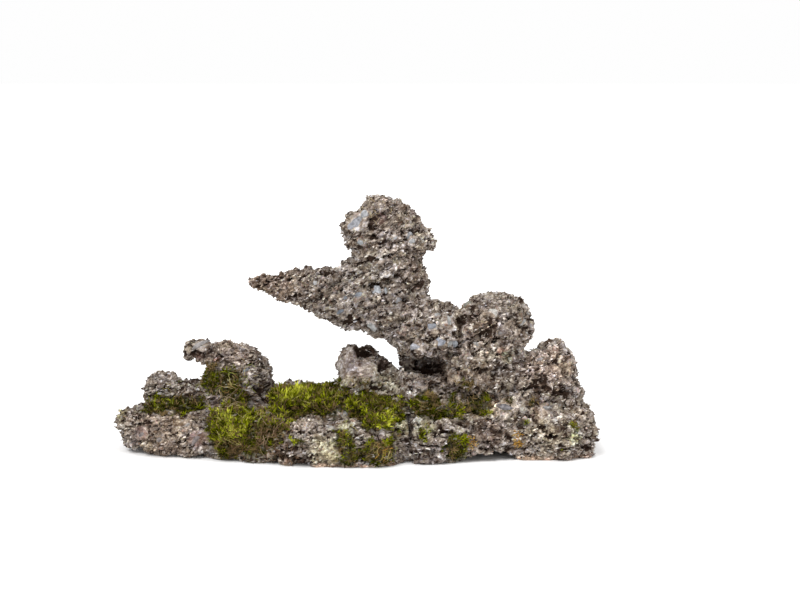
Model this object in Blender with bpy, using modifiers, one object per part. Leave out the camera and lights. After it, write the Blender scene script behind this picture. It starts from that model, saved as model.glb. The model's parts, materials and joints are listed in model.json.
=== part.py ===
"""Ibigawa display rock: two rough volcanic stones, sawn flat underneath and set end to end, with moss cushions.

Metres, +Z up. X runs along the rock, the long beak points to -X, and -Y is the front.
The origin is the middle of the footprint's bounding box, on the surface the rock stands on.
"""

import math

import bmesh
import bpy
from mathutils import Euler, Matrix, Vector

MM = 0.001

# Meshing: the grids that fuse the shapes, the triangles that a solid keeps, and what a cut welds
GRID = 3.2 * MM
STONE_FACES = 3500
MOSS_GRID = 1.8 * MM
MOSS_FACES = 240
WELD = 0.05 * MM

# The beds of gravel rise to the right, seen from the front
BED_RISE = math.radians(24)
BED_SIZE = (52 * MM, 40 * MM, 17 * MM)
BED_DEPTH = 7.0 * MM
BED_MEAN = 0.5
COBBLE_SIZE = (21 * MM, 21 * MM, 15 * MM)
COBBLE_DEPTH = 6.5 * MM
COBBLE_MEAN = 0.6

# The joint between the two stones leans to the left as it rises and is widest at its foot
JOINT_FOOT_X = 71.6 * MM
JOINT_HEAD_X = 57.3 * MM
JOINT_HEAD_Z = 98 * MM
JOINT_FOOT_GAP = 2.4 * MM
JOINT_HEAD_GAP = 0.7 * MM
JOINT_TOP_Z = 103 * MM

# Moss: how far its tips stand off the stone, the air left under it, and its own tufts
MOSS_HEIGHT = 6.5 * MM
MOSS_AIR = 0.6 * MM
TUFT_SIZE = (9 * MM, 9 * MM, 9 * MM)
TUFT_DEPTH = 3.5 * MM
TUFT_MEAN = 0.55
MOSS_LOWEST = 1.0 * MM

# How far the cutting blocks reach, which is past the whole rock
CUTTER_REACH = 500 * MM

ROCK_COLOUR = (0.21, 0.18, 0.155)
ROCK_ROUGHNESS = 0.92
MOSS_COLOUR = (0.09, 0.11, 0.02)
MOSS_ROUGHNESS = 0.9

# Every boulder is (centre x, y, z), (half width, half depth, half height), squareness[, tilt], in mm and degrees.
# Squareness 2 is an ellipsoid and 4 is nearly a box. A positive tilt lifts the right-hand end.
LEFT_SLAB = (
    ((-292, 0, 41), (12, 18, 11), 2.0),
    ((-265, -2, 29), (29, 38, 25), 2.8, 4),
    ((-229, -9, 26), (43, 44, 29), 3.2),
    ((-188, -7, 24), (42, 54, 31), 3.2),
    ((-212, 25, 20), (62, 36, 28), 3.0),
)
KNOB = (
    ((-243, 22, 72), (23, 30, 19), 2.6),
    ((-211, 20, 67), (27, 30, 15), 2.2),
    ((-256, 15, 66), (11, 20, 12), 2.0),
)
HOOK = (
    ((-207, 0, 129), (12, 15, 13), 2.0),
    ((-188, 2, 127), (17, 20, 14), 2.2, -8),
    ((-166, 5, 117), (21, 26, 21), 2.2),
    ((-142, 8, 104), (25, 32, 29), 2.2),
    ((-129, 10, 91), (21, 32, 29), 2.4),
    ((-147, 8, 73), (37, 38, 24), 2.4),
    ((-171, 0, 72), (27, 34, 22), 2.2),
    ((-119, 5, 66), (15, 30, 21), 2.2),
    ((-176, 2, 91), (15, 24, 15), 2.2),
    ((-140, 40, 62), (38, 28, 28), 2.4),
    ((-130, 36, 90), (20, 22, 22), 2.2),
)
CASCADE = (
    ((-151, -20, 20), (42, 48, 44), 2.6),
    ((-110, -25, 19), (32, 56, 44), 2.6),
    ((-90, 0, 58), (28, 50, 19), 2.4),
)
MIDDLE_SLAB = (
    ((-47, -25, 16), (52, 79, 34), 3.5),
    ((11, -25, 16), (54, 80, 34), 3.5),
    ((45, -20, 30), (40, 62, 34), 3.0),
    ((-71, 10, 57), (42, 55, 22), 2.5),
    ((-21, 5, 58), (42, 58, 22), 2.5),
    ((30, 5, 62), (46, 58, 26), 2.5),
    ((-79, 10, 75), (15, 20, 9), 2.0),
    ((-35, 45, 13), (100, 45, 35), 3.0),
    ((30, 52, 40), (50, 36, 36), 2.6),
)
CAVE_LUMP = (
    ((-4, 5, 106), (19, 24, 28), 2.3),
    ((15, 5, 105), (19, 26, 26), 2.3),
    ((34, 8, 94), (14, 22, 18), 2.2),
    ((49, 5, 86), (13, 22, 13), 2.2),
    ((7, -5, 82), (32, 36, 23), 2.4),
)
LEFT_HOLLOWS = (
    ((11, -20, 121), (15, 25, 8), 2.6, -12),
    ((33, -20, 110), (6, 16, 7), 2.2, -30),
    ((-196, -60, -4), (17, 26, 9), 2.0),
    ((-66, -98, 2), (11, 16, 12), 2.0),
    ((-117, -40, 73), (7, 14, 14), 2.0),
)
BEAK = (
    ((-125, -10, 213), (9, 8, 7), 2.0),
    ((-113, -9, 213), (16, 12, 11), 2.0),
    ((-97, -8, 208), (20, 16, 16), 2.0),
    ((-80, -6, 206), (22, 20, 21), 2.0),
    ((-60, -5, 202), (25, 25, 26), 2.0),
    ((-37, -3, 198), (27, 29, 33), 2.0),
    ((-15, -2, 196), (30, 33, 38), 2.0),
    ((7, 0, 191), (32, 37, 43), 2.0),
    ((4, 0, 221), (25, 30, 19), 2.0),
    ((30, 0, 185), (31, 40, 47), 2.0),
    ((53, 0, 177), (30, 42, 49), 2.0),
)
HEAD = (
    ((29, 6, 297), (27, 28, 24), 2.4),
    ((9, 4, 276), (26, 30, 23), 2.4),
    ((43, 6, 278), (33, 36, 29), 2.3),
    ((70, 6, 262), (28, 32, 23), 2.2),
    ((37, 2, 251), (40, 36, 27), 2.3),
    ((91, 6, 260), (11, 16, 11), 2.0),
    ((44, 2, 223), (42, 36, 28), 2.3),
    ((65, 2, 209), (24, 34, 24), 2.4),
    ((50, 26, 250), (30, 20, 34), 2.2),
)
SHOULDERS = (
    ((61, 0, 164), (36, 44, 36), 2.4),
    ((105, 0, 151), (30, 44, 34), 2.4),
    ((90, -2, 145), (47, 46, 28), 2.4),
    ((155, 7, 158), (29, 44, 32), 2.4),
    ((185, 9, 162), (30, 44, 35), 2.3),
    ((198, 7, 154), (22, 36, 27), 2.3),
    ((174, 5, 134), (35, 42, 23), 2.4),
)
COLUMN = (
    ((155, -2, 107), (52, 48, 43), 2.4),
    ((118, 35, 74), (62, 38, 33), 2.4),
    ((78, 24, 106), (24, 24, 18), 2.2),
    ((85, -22, 88), (27, 26, 16), 2.2),
    ((61, -8, 110), (10, 12, 6), 2.0),
    ((150, 48, 84), (56, 30, 48), 2.6),
)
RIGHT_LOBE = (
    ((241, 14, 95), (34, 40, 34), 2.4, 15),
    ((224, 12, 109), (22, 30, 15), 2.2, 14),
    ((251, 16, 121), (12, 26, 19), 2.2),
    ((256, 12, 100), (19, 36, 24), 2.6),
    ((218, 8, 79), (45, 46, 38), 2.4),
    ((261, 6, 67), (22, 40, 14), 2.4),
    ((283, 5, 68), (8, 10, 7), 2.0),
)
RIGHT_BASE = (
    ((142, -14, 25), (57, 65, 33), 3.5),
    ((228, -9, 23), (62, 62, 32), 3.5),
    ((283, -3, 22), (18, 56, 34), 3.2),
    ((92, -22, 21), (34, 70, 34), 3.0),
    ((170, 45, 13), (112, 42, 33), 3.0),
    ((105, -5, 57), (50, 52, 25), 2.4),
    ((193, -5, 60), (62, 50, 23), 2.4),
)
RIGHT_HOLLOWS = (
    ((88, -26, 110), (27, 42, 13), 2.8, -6),
    ((128, -42, 158), (6, 16, 24), 2.0),
    ((232, -30, 81), (42, 12, 4), 2.0, 3),
    ((196, -38, 128), (26, 12, 4), 2.0, 20),
    ((164, -66, -4), (37, 60, 12), 2.4),
)

MOSS_GROOVE = (
    ((-240, -13, 60), (24, 12, 9), 2.0),
    ((-212, -15, 60), (22, 13, 9), 2.0),
)
MOSS_HOOK_FOOT = (
    ((-178, -20, 90), (12, 12, 15), 2.0),
    ((-160, -22, 88), (18, 12, 15), 2.0),
    ((-180, -26, 72), (11, 12, 12), 2.0),
    ((-158, -32, 74), (16, 12, 10), 2.0),
)
MOSS_CASCADE = (
    ((-156, -50, 57), (24, 18, 14), 2.2),
    ((-150, -64, 38), (26, 14, 20), 2.2),
    ((-146, -66, 16), (24, 14, 16), 2.2),
)
MOSS_CASCADE_RIGHT = (
    ((-104, -60, 52), (22, 20, 14), 2.2),
    ((-101, -77, 30), (20, 13, 20), 2.2),
    ((-104, -80, 14), (14, 10, 10), 2.0),
)
MOSS_MIDDLE_LEFT = (
    ((-86, -28, 74), (20, 22, 9), 2.0),
    ((-60, -26, 76), (26, 22, 8), 2.0),
    ((-30, -34, 76), (22, 22, 8), 2.0),
    ((-72, -44, 67), (26, 14, 10), 2.0),
    ((-42, -48, 67), (22, 13, 9), 2.0),
)
MOSS_MIDDLE_RIGHT = (
    ((6, -50, 66), (18, 14, 11), 2.0),
    ((28, -54, 61), (20, 16, 11), 2.0),
    ((47, -56, 58), (12, 18, 10), 2.0),
    ((30, -70, 52), (20, 14, 9), 2.0),
)
MOSS_FRONT_SPOT = (
    ((-11, -99, 33), (8, 9, 12), 2.0),
    ((-11, -102, 20), (7, 7, 13), 2.0),
)
MOSS_FRONT_FOOT = (((30, -102, 20), (15, 8, 13), 2.0),)
MOSS_RIGHT_LEDGE = (
    ((88, -54, 66), (18, 17, 12), 2.0),
    ((124, -50, 66), (24, 16, 8), 2.0),
    ((158, -44, 68), (24, 11, 9), 2.0),
    ((194, -46, 68), (24, 11, 9), 2.0),
    ((226, -44, 72), (16, 10, 8), 2.0),
)
MOSS_RIGHT_FOOT = (((124, -78, 22), (12, 9, 15), 2.0),)


def boulder(bm, centre, half, squareness, tilt=0):
    """Adds a boxy ellipsoid to bm: a sphere pushed out to |x|^s + |y|^s + |z|^s = 1, then sized and placed."""
    made = bmesh.ops.create_icosphere(bm, subdivisions=3, radius=1)["verts"]
    turn = Euler((0, -math.radians(tilt), 0)).to_matrix()
    for vert in made:
        reach = sum(abs(c) ** squareness for c in vert.co) ** (1 / squareness)
        sized = Vector(c / reach * h for c, h in zip(vert.co, half))
        vert.co = (turn @ sized + Vector(centre)) * MM


def new_object(name, bm, collection):
    mesh = bpy.data.meshes.new(name)
    bm.to_mesh(mesh)
    bm.free()
    obj = bpy.data.objects.new(name, mesh)
    collection.objects.link(obj)
    return obj


def heap(name, boulders, collection):
    """One object that holds all these boulders, still overlapping."""
    bm = bmesh.new()
    for shape in boulders:
        boulder(bm, *shape)
    return new_object(name, bm, collection)


def hide(obj):
    """Marks a cutter or a guide, which isn't a piece of the rock."""
    obj.hide_render = True
    obj.display_type = "WIRE"
    return obj


def fuse(obj, grid):
    """Joins overlapping shapes into one skin on a regular grid."""
    remesh = obj.modifiers.new("fuse", "REMESH")
    remesh.mode = "VOXEL"
    remesh.voxel_size = grid


def cut(obj, cutter, operation="DIFFERENCE"):
    boolean = obj.modifiers.new(cutter.name, "BOOLEAN")
    boolean.operation = operation
    boolean.object = cutter


def roughen(obj, texture, guide, depth, middle):
    """Pushes the skin in and out by a texture, whose grain size is the guide's scale and whose mean is middle."""
    displace = obj.modifiers.new(texture.name, "DISPLACE")
    displace.texture = texture
    displace.texture_coords = "OBJECT"
    displace.texture_coords_object = guide
    displace.strength = depth
    displace.mid_level = middle


def swell(obj, distance):
    """Moves the skin straight out by distance."""
    displace = obj.modifiers.new("swell", "DISPLACE")
    displace.mid_level = 0
    displace.strength = distance


def baked(obj, name, collection):
    """A plain mesh object with obj's modifiers applied."""
    graph = bpy.context.evaluated_depsgraph_get()
    mesh = bpy.data.meshes.new_from_object(obj.evaluated_get(graph))
    mesh.name = name
    made = bpy.data.objects.new(name, mesh)
    collection.objects.link(made)
    return made


def keep_largest(obj):
    """Welds the slivers that a cut leaves, and removes every loose island but the one with the most points."""
    bm = bmesh.new()
    bm.from_mesh(obj.data)
    bmesh.ops.remove_doubles(bm, verts=bm.verts, dist=WELD)
    bmesh.ops.dissolve_degenerate(bm, edges=bm.edges, dist=WELD)
    bmesh.ops.triangulate(bm, faces=bm.faces)
    unseen = set(bm.verts)
    islands = []
    while unseen:
        island = set()
        frontier = [unseen.pop()]
        while frontier:
            vert = frontier.pop()
            island.add(vert)
            for edge in vert.link_edges:
                other = edge.other_vert(vert)
                if other in unseen:
                    unseen.discard(other)
                    frontier.append(other)
        islands.append(island)
    islands.sort(key=len, reverse=True)
    for island in islands[1:]:
        bmesh.ops.delete(bm, geom=list(island), context="VERTS")
    bm.to_mesh(obj.data)
    bm.free()


def material(name, colour, roughness):
    made = bpy.data.materials.new(name)
    made.use_nodes = True
    shader = made.node_tree.nodes["Principled BSDF"]
    shader.inputs["Base Color"].default_value = (*colour, 1)
    shader.inputs["Roughness"].default_value = roughness
    shader.inputs["Metallic"].default_value = 0
    made.diffuse_color = (*colour, 1)
    return made


def guide_empty(name, sizes, rise, collection):
    """An empty whose scale is the size of a texture's grain, turned along the beds."""
    empty = bpy.data.objects.new(name, None)
    empty.rotation_euler = (0, -rise, 0)
    empty.scale = sizes
    collection.objects.link(empty)
    return empty


def box_between(name, low, high, collection):
    bm = bmesh.new()
    bmesh.ops.create_cube(bm, size=1)
    size = Vector(high) - Vector(low)
    for vert in bm.verts:
        vert.co = Vector(low) + Vector((c + 0.5) * s for c, s in zip(vert.co, size))
    return hide(new_object(name, bm, collection))


def joint_cutter(name, side, collection):
    """A block with one face on the joint's plane, half the gap back. side is 1 to its right and -1 to its left."""
    foot = Vector((JOINT_FOOT_X + side * JOINT_FOOT_GAP / 2, 0, 0))
    head = Vector((JOINT_HEAD_X + side * JOINT_HEAD_GAP / 2, 0, JOINT_HEAD_Z))
    lean = math.atan2(foot.x - head.x, JOINT_HEAD_Z)
    top = CUTTER_REACH if side < 0 else JOINT_TOP_Z
    low_x = -CUTTER_REACH if side > 0 else 0
    high_x = 0 if side > 0 else CUTTER_REACH
    low = (low_x, -CUTTER_REACH, -CUTTER_REACH)
    high = (high_x, CUTTER_REACH, top)
    block = box_between(name, low, high, collection)
    block.data.transform(Matrix.Translation(foot) @ Matrix.Rotation(-lean, 4, "Y"))
    return block


def ground_cutter(name, height, collection):
    low = (-CUTTER_REACH, -CUTTER_REACH, -CUTTER_REACH)
    high = (CUTTER_REACH, CUTTER_REACH, height)
    return box_between(name, low, high, collection)


def textures():
    beds = bpy.data.textures.new("beds", "CLOUDS")
    beds.noise_scale = 1.0
    beds.noise_depth = 2
    cobbles = bpy.data.textures.new("cobbles", "VORONOI")
    cobbles.noise_scale = 1.0
    cobbles.noise_intensity = 1.0
    tufts = bpy.data.textures.new("tufts", "VORONOI")
    tufts.noise_scale = 1.0
    return beds, cobbles, tufts


def stone(name, boulders, hollows, cutters, parts, helpers, finish):
    """One whole stone: boulders fused, hollowed, roughened along its beds, thinned and sawn."""
    rough = hide(heap(name + "_boulders", boulders, helpers))
    hollow = hide(heap(name + "_hollows", hollows, helpers))
    fuse(hollow, GRID)
    fuse(rough, GRID)
    cut(rough, hollow)
    fuse(rough, GRID)
    for layer in finish:
        roughen(rough, *layer)
    fuse(rough, GRID)
    bpy.context.view_layer.update()
    made = baked(rough, name, parts)
    keep_largest(made)
    thin = made.modifiers.new("thin", "DECIMATE")
    thin.ratio = min(1, STONE_FACES / len(made.data.polygons))
    for cutter in cutters:
        cut(made, cutter)
    bpy.context.view_layer.update()
    sawn = baked(made, name + "_sawn", parts)
    bpy.data.objects.remove(made)
    sawn.name = name
    keep_largest(sawn)
    return sawn


def copy_of(obj, name, collection):
    made = bpy.data.objects.new(name, obj.data.copy())
    collection.objects.link(made)
    return hide(made)


def cushion(name, boulders, bed, neighbours, tufts, ground, parts, helpers):
    """A moss cushion: boulders trimmed to the height of the moss over the stone, clear of all that they meet."""
    sky = copy_of(bed, name + "_sky", helpers)
    swell(sky, MOSS_HEIGHT)
    fuse(sky, GRID)
    soft = hide(heap(name + "_boulders", boulders, helpers))
    fuse(soft, MOSS_GRID)
    cut(soft, sky, "INTERSECT")
    fuse(soft, MOSS_GRID)
    roughen(soft, *tufts)
    fuse(soft, MOSS_GRID)
    bpy.context.view_layer.update()
    made = baked(soft, name, parts)
    keep_largest(made)
    thin = made.modifiers.new("thin", "DECIMATE")
    thin.ratio = min(1, MOSS_FACES / len(made.data.polygons))
    for other in neighbours:
        clear = copy_of(other, f"{name}_off_{other.name}", helpers)
        swell(clear, MOSS_AIR)
        cut(made, clear)
    cut(made, ground)
    bpy.context.view_layer.update()
    trimmed = baked(made, name + "_trimmed", parts)
    bpy.data.objects.remove(made)
    trimmed.name = name
    keep_largest(trimmed)
    return trimmed


def main():
    for obj in list(bpy.data.objects):
        bpy.data.objects.remove(obj)
    parts = bpy.data.collections.new("ibigawa_rock")
    helpers = bpy.data.collections.new("cutters")
    for collection in (parts, helpers):
        bpy.context.scene.collection.children.link(collection)

    beds, cobbles, tufts = textures()
    finish = (
        (beds, guide_empty("bed_guide", BED_SIZE, BED_RISE, helpers), BED_DEPTH, BED_MEAN),
        (cobbles, guide_empty("cobble_guide", COBBLE_SIZE, BED_RISE, helpers), COBBLE_DEPTH, COBBLE_MEAN),
    )
    ground = ground_cutter("ground", 0, helpers)
    rock = material("rough_rock", ROCK_COLOUR, ROCK_ROUGHNESS)
    moss = material("cushion_moss", MOSS_COLOUR, MOSS_ROUGHNESS)

    left = stone(
        "left_stone",
        LEFT_SLAB + KNOB + HOOK + CASCADE + MIDDLE_SLAB + CAVE_LUMP,
        LEFT_HOLLOWS,
        (joint_cutter("left_stone_joint", -1, helpers), ground),
        parts,
        helpers,
        finish,
    )
    right = stone(
        "right_stone",
        BEAK + HEAD + SHOULDERS + COLUMN + RIGHT_LOBE + RIGHT_BASE,
        RIGHT_HOLLOWS,
        (joint_cutter("right_stone_joint", 1, helpers), ground),
        parts,
        helpers,
        finish,
    )

    tuft_layer = (tufts, guide_empty("tuft_guide", TUFT_SIZE, 0, helpers), TUFT_DEPTH, TUFT_MEAN)
    above_ground = ground_cutter("above_ground", MOSS_LOWEST, helpers)
    cushions = []
    for name, boulders, bed in (
        ("moss_groove", MOSS_GROOVE, left),
        ("moss_hook_foot", MOSS_HOOK_FOOT, left),
        ("moss_cascade", MOSS_CASCADE, left),
        ("moss_cascade_right", MOSS_CASCADE_RIGHT, left),
        ("moss_middle_left", MOSS_MIDDLE_LEFT, left),
        ("moss_middle_right", MOSS_MIDDLE_RIGHT, left),
        ("moss_front_spot", MOSS_FRONT_SPOT, left),
        ("moss_front_foot", MOSS_FRONT_FOOT, left),
        ("moss_right_ledge", MOSS_RIGHT_LEDGE, right),
        ("moss_right_foot", MOSS_RIGHT_FOOT, right),
    ):
        neighbours = (left, right, *cushions)
        made = cushion(name, boulders, bed, neighbours, tuft_layer, above_ground, parts, helpers)
        cushions.append(made)

    # The origin goes to the middle of the footprint's bounding box
    spans = [vert.co for obj in (left, right) for vert in obj.data.vertices]
    middle_x = (min(co.x for co in spans) + max(co.x for co in spans)) / 2
    middle_y = (min(co.y for co in spans) + max(co.y for co in spans)) / 2
    for obj in (left, right, *cushions):
        obj.data.transform(Matrix.Translation((-middle_x, -middle_y, 0)))
        obj.data.materials.clear()
        obj.data.materials.append(moss if obj in cushions else rock)


main()
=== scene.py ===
import json
import math
import random

import bpy
import bmesh
import numpy as np
from mathutils import Euler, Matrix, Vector
from mathutils.bvhtree import BVHTree

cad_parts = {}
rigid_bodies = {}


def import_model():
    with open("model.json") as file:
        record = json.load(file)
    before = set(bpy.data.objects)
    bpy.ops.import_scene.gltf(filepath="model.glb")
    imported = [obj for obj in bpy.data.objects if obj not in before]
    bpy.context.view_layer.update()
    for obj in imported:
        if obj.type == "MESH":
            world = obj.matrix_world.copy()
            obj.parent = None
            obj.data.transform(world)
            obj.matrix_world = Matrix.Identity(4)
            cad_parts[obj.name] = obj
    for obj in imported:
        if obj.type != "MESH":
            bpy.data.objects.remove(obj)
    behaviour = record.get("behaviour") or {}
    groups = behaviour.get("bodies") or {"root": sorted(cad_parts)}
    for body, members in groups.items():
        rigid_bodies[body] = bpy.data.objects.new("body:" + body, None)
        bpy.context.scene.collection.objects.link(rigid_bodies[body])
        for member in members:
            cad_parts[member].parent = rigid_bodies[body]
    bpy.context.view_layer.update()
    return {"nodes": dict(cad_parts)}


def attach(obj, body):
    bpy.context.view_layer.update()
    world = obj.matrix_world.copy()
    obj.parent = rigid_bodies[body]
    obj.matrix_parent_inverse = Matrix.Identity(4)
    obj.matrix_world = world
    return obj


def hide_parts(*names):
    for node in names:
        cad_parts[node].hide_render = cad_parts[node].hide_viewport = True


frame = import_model()
print("frame loaded")

mm = 0.001
scene = bpy.context.scene
nodes = frame["nodes"]
leftStone = nodes["left_stone"]
rightStone = nodes["right_stone"]
mossNodes = [name for name in nodes if name.startswith("moss_")]
# moss and fibres end this far above the floor
lowest = 0.2 * mm


# Node trees. A value is a node's output that takes plain arithmetic.

class Value:
    def __init__(self, net, socket):
        self.net = net
        self.socket = socket

    def calc(self, operation, *others):
        return self.net.calc(operation, self, *others)

    def __add__(self, other):
        return self.calc("ADD", other)

    def __sub__(self, other):
        return self.calc("SUBTRACT", other)

    def __rsub__(self, other):
        return self.net.calc("SUBTRACT", other, self)

    def __mul__(self, other):
        return self.calc("MULTIPLY", other)

    def fused(self, factor, added):
        return self.calc("MULTIPLY_ADD", factor, added)

    def most(self, other):
        return self.calc("MAXIMUM", other)

    def remap(self, low, high, newLow=0.0, newHigh=1.0, smooth=False):
        kind = "SMOOTHSTEP" if smooth else "LINEAR"
        inputs = {"Value": self, "From Min": low, "From Max": high, "To Min": newLow, "To Max": newHigh}
        return self.net.get("ShaderNodeMapRange", inputs, "Result", interpolation_type=kind)

    def scaled(self, amount):
        return self.net.get("ShaderNodeVectorMath", {0: self, "Scale": amount}, operation="SCALE")


class Net:
    def __init__(self, tree):
        self.tree = tree

    def feed(self, socket, value):
        if isinstance(value, Value):
            self.tree.links.new(value.socket, socket)
        else:
            socket.default_value = value

    def node(self, kind, inputs=None, **settings):
        made = self.tree.nodes.new(kind)
        for key, value in settings.items():
            setattr(made, key, value)
        for key, value in (inputs or {}).items():
            self.feed(made.inputs[key], value)
        return made

    def out(self, node, output=0):
        return Value(self, node.outputs[output])

    def get(self, kind, inputs=None, output=0, **settings):
        return self.out(self.node(kind, inputs, **settings), output)

    def calc(self, operation, *values):
        return self.get("ShaderNodeMath", dict(enumerate(values)), operation=operation)

    def vector(self, operation, first, second):
        return self.get("ShaderNodeVectorMath", {0: first, 1: second}, operation=operation)

    def apart(self, vector, kind="ShaderNodeSeparateXYZ"):
        made = self.node(kind, {0: vector})
        return [self.out(made, part) for part in range(3)]

    def joined(self, x, y, z):
        return self.get("ShaderNodeCombineXYZ", {0: x, 1: y, 2: z})

    def noise(self, place, scale, detail, roughness=0.5, output="Fac"):
        inputs = {"Scale": scale, "Detail": detail, "Roughness": roughness}
        if place is not None:
            inputs["Vector"] = place
        return self.get("ShaderNodeTexNoise", inputs, output)

    def here(self):
        return self.get("GeometryNodeInputPosition")

    def objectPlace(self):
        return self.get("ShaderNodeTexCoord", None, "Object")

    def named(self, name):
        return self.get("GeometryNodeInputNamedAttribute", {"Name": name}, data_type="FLOAT")

    def attribute(self, name, output="Fac"):
        return self.get("ShaderNodeAttribute", None, output, attribute_name=name)

    def chance(self, low, high, seed):
        return self.get("FunctionNodeRandomValue", {2: low, 3: high, 8: seed}, 1, data_type="FLOAT")

    def store(self, geometry, name, value, domain="POINT"):
        inputs = {"Geometry": geometry, "Name": name, "Value": value}
        return self.get("GeometryNodeStoreNamedAttribute", inputs, data_type="FLOAT", domain=domain)

    def moved(self, geometry, offset):
        return self.get("GeometryNodeSetPosition", {"Geometry": geometry, "Offset": offset})

    def spread(self, mesh, density, seed, chosen=True):
        inputs = {"Mesh": mesh, "Density": density, "Seed": seed, "Selection": chosen}
        made = self.node("GeometryNodeDistributePointsOnFaces", inputs, distribute_method="RANDOM")
        return self.out(made, "Points"), self.out(made, "Normal")

    def scatter(self, spots, shapes, rotation, scale, seed):
        # one shape picked by chance at each spot
        inputs = {"Collection": shapes, "Separate Children": True, "Reset Children": True}
        picked = self.get("GeometryNodeCollectionInfo", inputs)
        index = self.get("FunctionNodeRandomValue", {4: 0, 5: 100, 8: seed}, 2, data_type="INT")
        inputs = {
            "Points": spots, "Instance": picked, "Pick Instance": True,
            "Instance Index": index, "Rotation": rotation, "Scale": scale,
        }
        return self.get("GeometryNodeInstanceOnPoints", inputs)

    def real(self, instances):
        return self.get("GeometryNodeRealizeInstances", {0: instances})

    def together(self, *parts):
        made = self.node("GeometryNodeJoinGeometry")
        for part in parts:
            self.feed(made.inputs[0], part)
        return self.out(made)

    def finish(self, geometry, material):
        painted = self.get("GeometryNodeSetMaterial", {"Geometry": geometry, "Material": material})
        self.feed(self.last.inputs["Geometry"], painted)
        return self.tree

    def mixed(self, factor, first, second, blend="MIX"):
        inputs = {0: factor, 6: first, 7: second}
        return self.get("ShaderNodeMix", inputs, 2, data_type="RGBA", blend_type=blend, clamp_factor=True)

    def ramp(self, factor, stops, steps=False):
        made = self.node("ShaderNodeValToRGB", {"Fac": factor})
        made.color_ramp.interpolation = "CONSTANT" if steps else "LINEAR"
        elements = made.color_ramp.elements
        while len(elements) < len(stops):
            elements.new(0.5)
        for element, (position, colour) in zip(elements, stops):
            element.position = position
            element.color = (*colour, 1)
        return self.out(made, "Color")


socketKinds = {"Geometry": "Geometry", "seed": "Int"}
socketKinds |= dict.fromkeys(("shapes", "stars", "sprigs"), "Collection")


def newNet(name, inputs):
    # an empty tree whose inputs have these names
    tree = bpy.data.node_groups.new(name, "GeometryNodeTree")
    for label in ["Geometry", *inputs.split()]:
        kind = "NodeSocket" + socketKinds.get(label, "Float")
        tree.interface.new_socket(label, in_out="INPUT", socket_type=kind)
    tree.interface.new_socket("Geometry", in_out="OUTPUT", socket_type="NodeSocketGeometry")
    net = Net(tree)
    net.last = tree.nodes.new("NodeGroupOutput")
    return net, {socket.name: Value(net, socket) for socket in tree.nodes.new("NodeGroupInput").outputs}


# Meshes and objects.

def addObject(name, data):
    made = bpy.data.objects.new(name, data)
    scene.collection.objects.link(made)
    return made


def meshFrom(bm, name):
    mesh = bpy.data.meshes.new(name)
    bm.to_mesh(mesh)
    bm.free()
    return mesh


def applied(target, name):
    # a plain mesh of target with its modifiers applied
    bpy.context.view_layer.update()
    graph = bpy.context.evaluated_depsgraph_get()
    mesh = bpy.data.meshes.new_from_object(target.evaluated_get(graph))
    mesh.name = name
    return addObject(name, mesh)


def runTree(target, tree, values, name):
    modifier = target.modifiers.new(tree.name, "NODES")
    modifier.node_group = tree
    for item in tree.interface.items_tree:
        if item.item_type == "SOCKET" and item.in_out == "INPUT" and item.name in values:
            modifier[item.identifier] = values[item.name]
    made = applied(target, name)
    target.modifiers.remove(modifier)
    return made


def mergedCopy(node, name):
    bm = bmesh.new()
    bm.from_mesh(node.data)
    bmesh.ops.remove_doubles(bm, verts=bm.verts, dist=0.01 * mm)
    return addObject(name, meshFrom(bm, name))


def addVoxels(target, size):
    fine = target.modifiers.new("voxels", "REMESH")
    fine.mode = "VOXEL"
    fine.voxel_size = size


def points(mesh):
    place = np.empty(len(mesh.vertices) * 3)
    mesh.vertices.foreach_get("co", place)
    return place.reshape(-1, 3)


def setPoints(mesh, place):
    mesh.vertices.foreach_set("co", place.ravel())
    mesh.update()


def holdUp(mesh, least):
    place = points(mesh)
    place[:, 2] = np.maximum(place[:, 2], least)
    setPoints(mesh, place)


def storeFloats(mesh, name, values):
    layer = mesh.attributes.new(name, "FLOAT", "POINT")
    layer.data.foreach_set("value", np.asarray(values, dtype=np.float32))


def storeColours(mesh, name, values):
    layer = mesh.attributes.new(name, "FLOAT_COLOR", "POINT")
    layer.data.foreach_set("color", np.asarray(values, dtype=np.float32).ravel())


def surfaceOf(*objects):
    spots = []
    faces = []
    for item in objects:
        start = len(spots)
        spots.extend(vert.co.copy() for vert in item.data.vertices)
        faces.extend([start + index for index in face.vertices] for face in item.data.polygons)
    return BVHTree.FromPolygons(spots, faces)


def finishPiece(piece, material, node=None):
    piece.data.materials.clear()
    piece.data.materials.append(material)
    if node is not None:
        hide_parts(node)
    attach(piece, "root")
    count = sum(len(face.vertices) - 2 for face in piece.data.polygons)
    print(piece.name, count, "triangles")


# The camera. Distances in the camera's picture are in its pixels.

camera = {
    "aim": (53.6 * mm, 7.1 * mm, 182 * mm),
    "distance": 2300 * mm,
    "elevation": 9,
    "lens": 83.1,
    "sensor": 36,
    "imageWidth": 800,
    "imageHeight": 611,
}


def cameraPlace():
    rise = math.radians(camera["elevation"])
    away = Vector((0, -math.cos(rise), math.sin(rise))) * camera["distance"]
    return Vector(camera["aim"]) + away


def makeCamera():
    data = bpy.data.cameras.new("camera")
    data.lens = camera["lens"]
    data.sensor_width = camera["sensor"]
    data.clip_start = 0.05
    made = addObject("camera", data)
    made.location = cameraPlace()
    made.rotation_euler = (math.radians(90 - camera["elevation"]), 0, 0)
    scene.camera = made


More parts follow.
